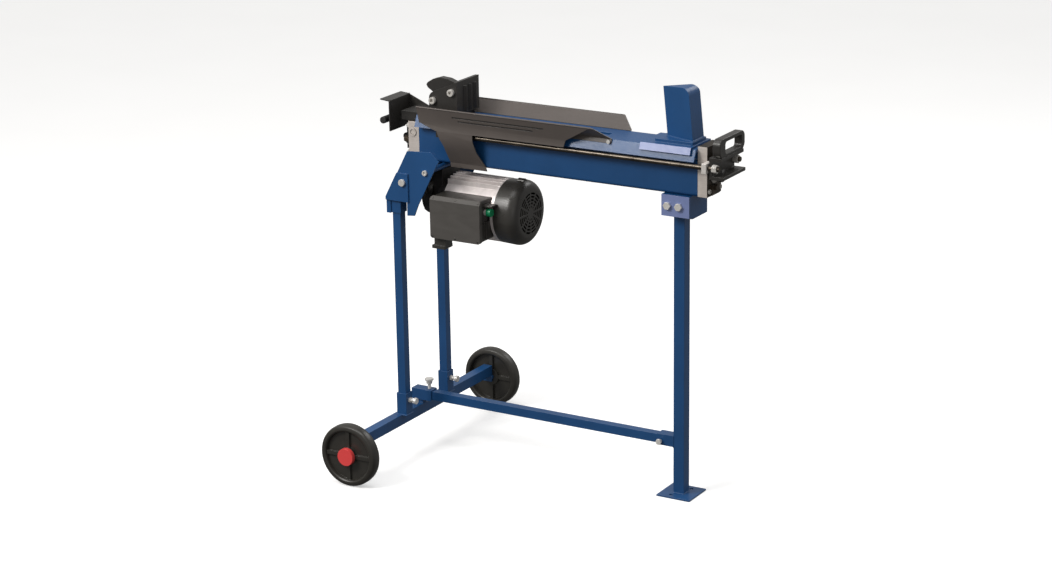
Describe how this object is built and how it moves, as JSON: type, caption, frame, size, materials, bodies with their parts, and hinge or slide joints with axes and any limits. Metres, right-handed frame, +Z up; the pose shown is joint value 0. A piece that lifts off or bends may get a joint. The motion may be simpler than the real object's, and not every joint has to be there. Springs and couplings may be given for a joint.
{
  "type": "horizontal log splitter",
  "caption": "Horizontal electric-hydraulic log splitter: a wheeled stand, a beam with a sliding pusher, a fixed wedge, log troughs and a motor with pump below.",
  "frame": {"origin": "on the floor, under the centre of the front leg's foot plate", "axes": "+X along the beam from the wheels towards the wedge, +Y to the side away from the switch box, +Z up"},
  "size_m": [0.932, 0.704, 0.9897],
  "materials": {
    "blue_paint": "satin",
    "black_paint": "satin",
    "grey_paint": "satin",
    "plate_steel": "satin",
    "plain_steel": "satin",
    "chrome": "polished",
    "oiled_steel": "satin",
    "zinc": "satin",
    "guide_alloy": "satin",
    "silver_casting": "satin",
    "dark_iron": "matte",
    "stator_core": "matte",
    "black_plastic": "matte",
    "grey_plastic": "matte",
    "green_plastic": "gloss",
    "wheel_plastic": "matte",
    "seal_rubber": "matte"
  },
  "bodies": {
    "frame": {"front_leg": "blue_paint", "front_bracket": "blue_paint", "front_bracket_bolts": "zinc", "base_rail": "blue_paint", "rail_screws": "zinc", "axle_beam": "blue_paint", "near_rear_leg": "blue_paint", "far_rear_leg": "blue_paint", "leg_clamp_screws": "zinc", "rear_bracket": "blue_paint", "bracket_tie_tubes": "blue_paint", "bracket_tie_bolts": "zinc", "beam": "blue_paint", "bed": "blue_paint", "rear_end_plate": "plate_steel", "front_end_plate": "plate_steel", "tie_rods": "plain_steel", "tie_rod_nuts": "zinc", "cylinder_tube": "plain_steel", "rod_gland": "plain_steel", "rod_seal": "seal_rubber", "pressure_pipe": "plain_steel", "rod_guides": "guide_alloy", "wedge": "blue_paint", "near_trough": "grey_paint", "far_trough": "grey_paint", "trough_screws": "zinc", "motor_housing": "silver_casting", "stator": "stator_core", "motor_bearings": "plain_steel", "fan_cover": "black_plastic", "pump_body": "dark_iron", "pump_cover": "dark_iron", "switch_box": "black_plastic", "switch_box_lid": "grey_plastic", "button_collar": "guide_alloy", "power_inlet": "black_plastic", "valve_block": "dark_iron", "lever_guard": "black_paint"},
    "ram": {"piston": "plain_steel", "piston_seal": "seal_rubber", "piston_rod": "chrome", "crosshead": "black_paint", "carry_handle": "black_paint", "pull_rods": "oiled_steel", "rod_nuts": "zinc", "slider": "black_paint", "pusher_slide": "black_paint", "pusher_plate": "black_paint", "pusher_bolts": "zinc"},
    "rotor": {"rotor_shaft": "plain_steel", "cooling_fan": "black_plastic", "drive_gear": "plain_steel"},
    "idler": {"idler_gear": "plain_steel"},
    "button": {"start_button": "green_plastic"},
    "lever": {"control_lever": "black_paint", "lever_grip": "seal_rubber"},
    "spool": {"valve_spool": "plain_steel"},
    "near_wheel_body": {"near_wheel": "wheel_plastic"},
    "far_wheel_body": {"far_wheel": "wheel_plastic"}
  },
  "joints": [
    {"name": "ram_slide", "type": "slide", "parent": "frame", "child": "ram", "axis": [1, 0, 0], "range_m": [0, 0.398]},
    {"name": "motor_spin", "type": "hinge", "parent": "frame", "child": "rotor", "pos_m": [0, 0, 0.637], "axis": [1, 0, 0], "continuous": true},
    {"name": "idler_spin", "type": "hinge", "parent": "frame", "child": "idler", "pos_m": [0, 0, 0.6733], "axis": [1, 0, 0], "continuous": true},
    {"name": "button_press", "type": "slide", "parent": "frame", "child": "button", "axis": [-1, 0, 0], "range_m": [0, 0.004]},
    {"name": "lever_swing", "type": "hinge", "parent": "frame", "child": "lever", "pos_m": [-0.754, 0.014, 0.786], "axis": [0, -1, 0], "range_deg": [0, 20]},
    {"name": "spool_slide", "type": "slide", "parent": "frame", "child": "spool", "axis": [1, 0, 0], "range_m": [0, 0.0055]},
    {"name": "near_wheel_spin", "type": "hinge", "parent": "frame", "child": "near_wheel_body", "pos_m": [-0.722, -0.328, 0.077], "axis": [0, 1, 0], "continuous": true},
    {"name": "far_wheel_spin", "type": "hinge", "parent": "frame", "child": "far_wheel_body", "pos_m": [-0.722, 0.328, 0.077], "axis": [0, 1, 0], "continuous": true}
  ],
  "couplings": [
    {"joint": "idler_spin", "follows": "motor_spin", "ratio": -1},
    {"joint": "spool_slide", "follows": "lever_swing", "m_per_rad": 0.015}
  ]
}
